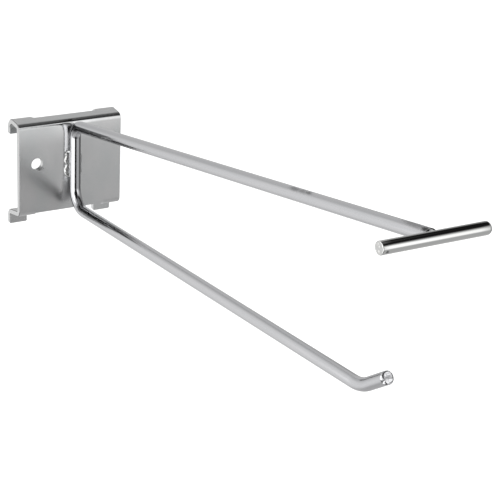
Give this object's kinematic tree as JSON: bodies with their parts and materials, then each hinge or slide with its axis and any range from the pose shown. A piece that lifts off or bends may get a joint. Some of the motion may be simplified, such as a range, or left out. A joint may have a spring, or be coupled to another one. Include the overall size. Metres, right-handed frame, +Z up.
{
  "type": "pegboard hook",
  "caption": "Wire display hook on a folded backplate, with a long upturned lower arm and a rising upper arm that ends in a cross bar for a label.",
  "frame": {"origin": "middle of the plate's width, on the back face that lies on the panel, level with the inside corner of the top bend", "axes": "+Y into the panel, the arms reach forward along -Y, +Z up, +X to the right seen from the front"},
  "size_m": [0.0582, 0.3181, 0.0979],
  "materials": {
    "plate_zinc": "bright zinc plating on sheet steel, half mirror",
    "wire_zinc": "bright zinc plating on drawn wire",
    "bar_zinc": "bright zinc plating, nearly a mirror",
    "weld_metal": "plated weld, lumpy"
  },
  "bodies": {
    "root": {"backplate": "plate_zinc", "hook_wire": "wire_zinc", "cross_bar": "bar_zinc", "plate_weld_left": "weld_metal", "plate_weld_right": "weld_metal", "bar_weld": "weld_metal"}
  },
  "joints": []
}
